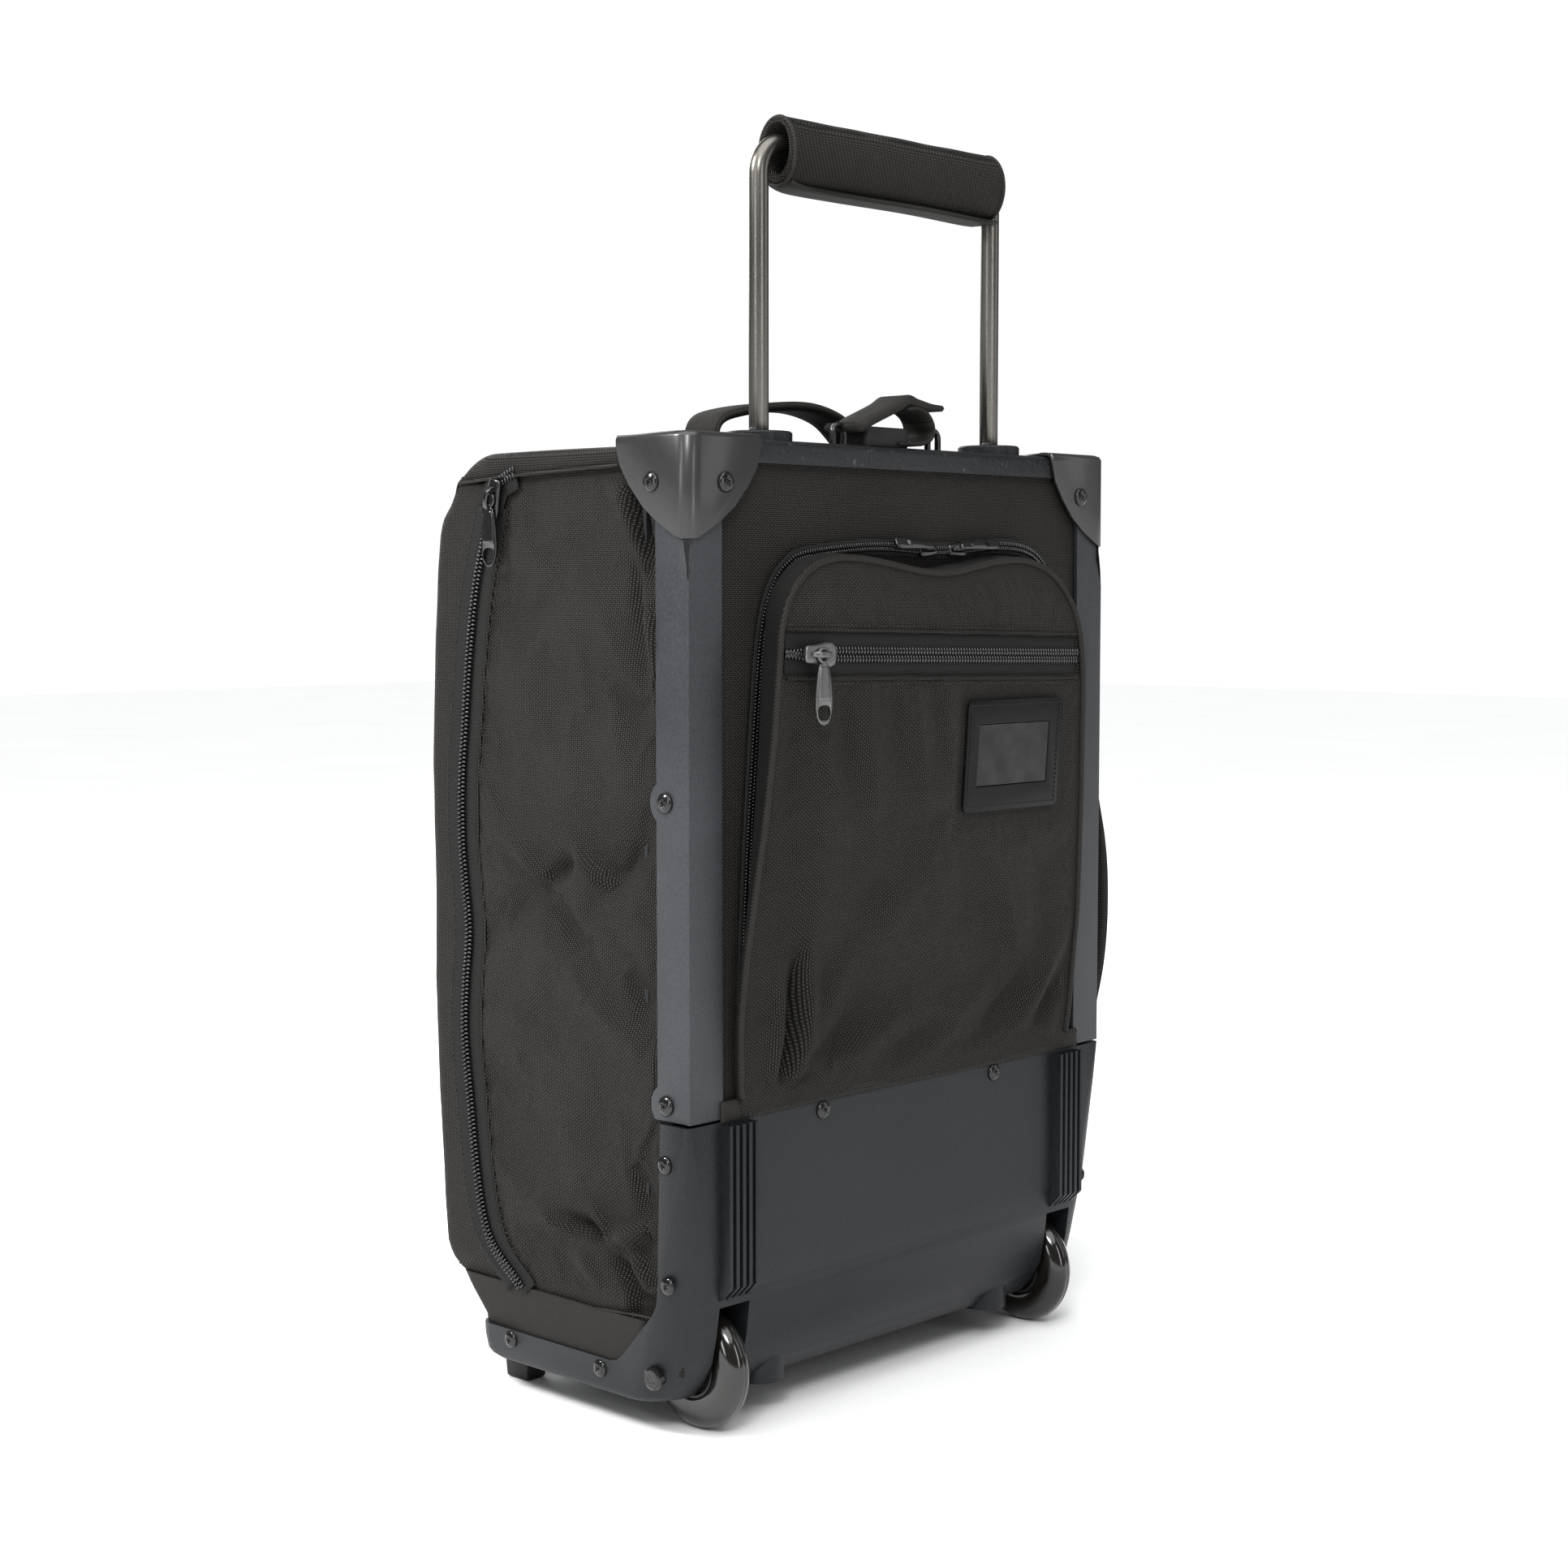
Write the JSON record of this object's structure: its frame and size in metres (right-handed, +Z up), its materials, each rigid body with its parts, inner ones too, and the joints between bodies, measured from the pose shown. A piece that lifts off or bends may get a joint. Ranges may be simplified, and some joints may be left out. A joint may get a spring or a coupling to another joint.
{
  "type": "softside upright suitcase",
  "caption": "Softside upright suitcase with a moulded wheeled base, steel corner pillars and caps, a zipped back pocket and a pull-out handle.",
  "frame": {"origin": "centre of the bounding box at floor level", "axes": "+Z up; +Y out of the back, the side with the pull-out handle and wheels; +X to the left of a user standing behind the case"},
  "size_m": [0.3862, 0.2478, 0.7207],
  "materials": {
    "moulded_plastic": "fine pebbled grain",
    "foot_rubber": "matt",
    "powder_coat": "speckled powder coat",
    "cap_enamel": "semi-gloss enamel",
    "bright_steel": "drawn",
    "gunmetal_rod": "satin gunmetal",
    "ballistic_nylon": "coarse basket weave",
    "liner_board": "lined board",
    "wheel_urethane": "glossy smoke urethane",
    "hub_nylon": "moulded",
    "black_steel": "glossy black",
    "zip_black": "glossy black",
    "vinyl": "smooth vinyl",
    "clear_window": "clear film",
    "webbing": "woven webbing"
  },
  "bodies": {
    "case": {"back_panel": "ballistic_nylon", "back_pocket": "ballistic_nylon", "base_shell": "moulded_plastic", "bumper_block": "foot_rubber", "cap_screw_back_left": "black_steel", "cap_screw_back_right": "black_steel", "cap_screw_side_left": "black_steel", "cap_screw_side_right": "black_steel", "carry_strap": "webbing", "collar_left": "moulded_plastic", "collar_right": "moulded_plastic", "corner_cap_left": "cap_enamel", "corner_cap_right": "cap_enamel", "floor_board": "liner_board", "front_foot_left": "foot_rubber", "front_foot_right": "foot_rubber", "front_sill": "ballistic_nylon", "guide_tube_left": "bright_steel", "guide_tube_right": "bright_steel", "id_frame": "vinyl", "id_window": "clear_window", "inner_back_panel": "liner_board", "pillar_left": "powder_coat", "pillar_right": "powder_coat", "pillar_screw_lower_left": "black_steel", "pillar_screw_lower_right": "black_steel", "pillar_screw_upper_left": "black_steel", "pillar_screw_upper_right": "black_steel", "pocket_zip_chain": "zip_black", "side_handle": "webbing", "side_panel_left": "ballistic_nylon", "side_panel_right": "ballistic_nylon", "strap_loop_left": "black_steel", "strap_loop_right": "black_steel", "top_channel": "moulded_plastic", "top_handle": "webbing", "top_panel": "ballistic_nylon", "wheel_axle_left": "black_steel", "wheel_axle_right": "black_steel"},
    "handle": {"handle_rod": "gunmetal_rod", "handle_grip": "ballistic_nylon", "handle_bush_left": "hub_nylon", "handle_bush_right": "hub_nylon"},
    "wheel_left": {"wheel_tyre_left": "wheel_urethane", "wheel_hub_left": "hub_nylon", "wheel_bearing_left": "bright_steel"},
    "wheel_right": {"wheel_tyre_right": "wheel_urethane", "wheel_hub_right": "hub_nylon", "wheel_bearing_right": "bright_steel"},
    "front_cover": {"front_panel": "ballistic_nylon", "front_flange_left": "ballistic_nylon", "front_flange_right": "ballistic_nylon"},
    "pocket_slider": {"pocket_zip_slider": "zip_black"},
    "pocket_pull": {"pocket_zip_pull": "zip_black"},
    "side_slider_left": {"side_zip_slider_left": "zip_black"},
    "side_pull_left": {"side_zip_pull_left": "zip_black"},
    "side_slider_right": {"side_zip_slider_right": "zip_black"},
    "side_pull_right": {"side_zip_pull_right": "zip_black"}
  },
  "joints": [
    {"name": "handle_slide", "type": "slide", "parent": "case", "child": "handle", "axis": [0, 0, 1], "range_m": [-0.105, 0.33]},
    {"name": "wheel_left_spin", "type": "hinge", "parent": "case", "child": "wheel_left", "pos_m": [0.15285, 0.0648, 0.035], "axis": [1, 0, 0], "continuous": true},
    {"name": "wheel_right_spin", "type": "hinge", "parent": "case", "child": "wheel_right", "pos_m": [-0.13515, 0.0648, 0.035], "axis": [1, 0, 0], "continuous": true},
    {"name": "front_cover_hinge", "type": "hinge", "parent": "case", "child": "front_cover", "pos_m": [0.00885, -0.1019, 0.064], "axis": [1, 0, 0], "range_deg": [0, 90]},
    {"name": "pocket_slider_slide", "type": "slide", "parent": "case", "child": "pocket_slider", "axis": [-0.9997, 0, -0.0226], "range_m": [-0.007, 0.22]},
    {"name": "pocket_pull_swing", "type": "hinge", "parent": "pocket_slider", "child": "pocket_pull", "pos_m": [0.11585, 0.1224, 0.42685], "axis": [1, 0, 0], "range_deg": [0, 160]},
    {"name": "side_slider_left_slide", "type": "slide", "parent": "case", "child": "side_slider_left", "axis": [0, -0.2882, -0.9576], "range_m": [0, 0.095]},
    {"name": "side_pull_left_swing", "type": "hinge", "parent": "side_slider_left", "child": "side_pull_left", "pos_m": [0.19355, -0.0604, 0.512], "axis": [0, -1, 0], "range_deg": [0, 160]},
    {"name": "side_slider_right_slide", "type": "slide", "parent": "case", "child": "side_slider_right", "axis": [0, -0.2882, -0.9576], "range_m": [0, 0.095]},
    {"name": "side_pull_right_swing", "type": "hinge", "parent": "side_slider_right", "child": "side_pull_right", "pos_m": [-0.17585, -0.0604, 0.512], "axis": [0, 1, 0], "range_deg": [0, 160]}
  ]
}
